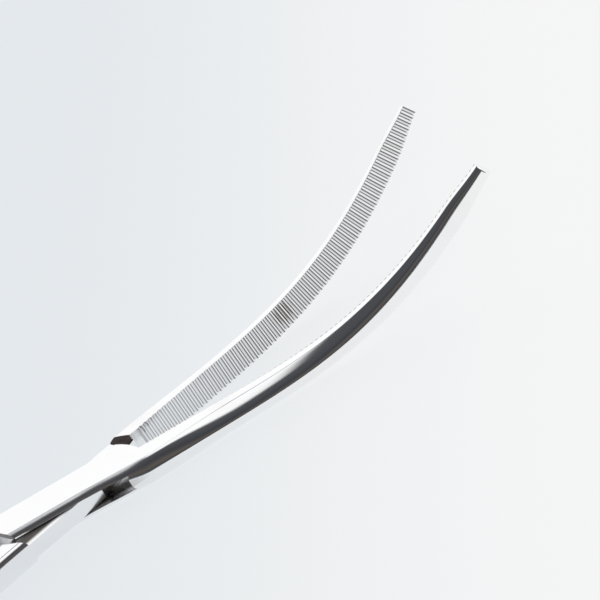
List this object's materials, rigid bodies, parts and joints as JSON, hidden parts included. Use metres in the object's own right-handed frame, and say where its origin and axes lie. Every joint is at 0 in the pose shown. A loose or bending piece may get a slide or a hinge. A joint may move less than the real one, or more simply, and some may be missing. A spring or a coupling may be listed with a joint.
{
  "type": "hemostat forceps",
  "caption": "Curved locking forceps: hinged halves crossing in a box lock, cross-serrated jaws, ratchet bars and finger rings.",
  "frame": {"origin": "on the pivot axis, at the underside of the box lock, which the instrument rests on", "axes": "+X from the pivot towards the tips, midway between the jaws; +Z along the pivot axis, up out of the rest face, the way the jaws curve"},
  "size_m": [0.1704, 0.1048, 0.0139],
  "materials": {
    "polished_steel": "hand-polished stainless steel, faint stains in the serrations",
    "pin_steel": "riveted, ground flush and polished"
  },
  "bodies": {
    "slotted": {"slotted_half": "polished_steel", "pivot_pin": "pin_steel"},
    "tongued": {"tongued_half": "polished_steel"}
  },
  "joints": [
    {"name": "box_lock", "type": "hinge", "parent": "slotted", "child": "tongued", "pos_m": [0, 0, 0.0018], "axis": [0, 0, 1], "range_deg": [-21.4, 37]}
  ]
}
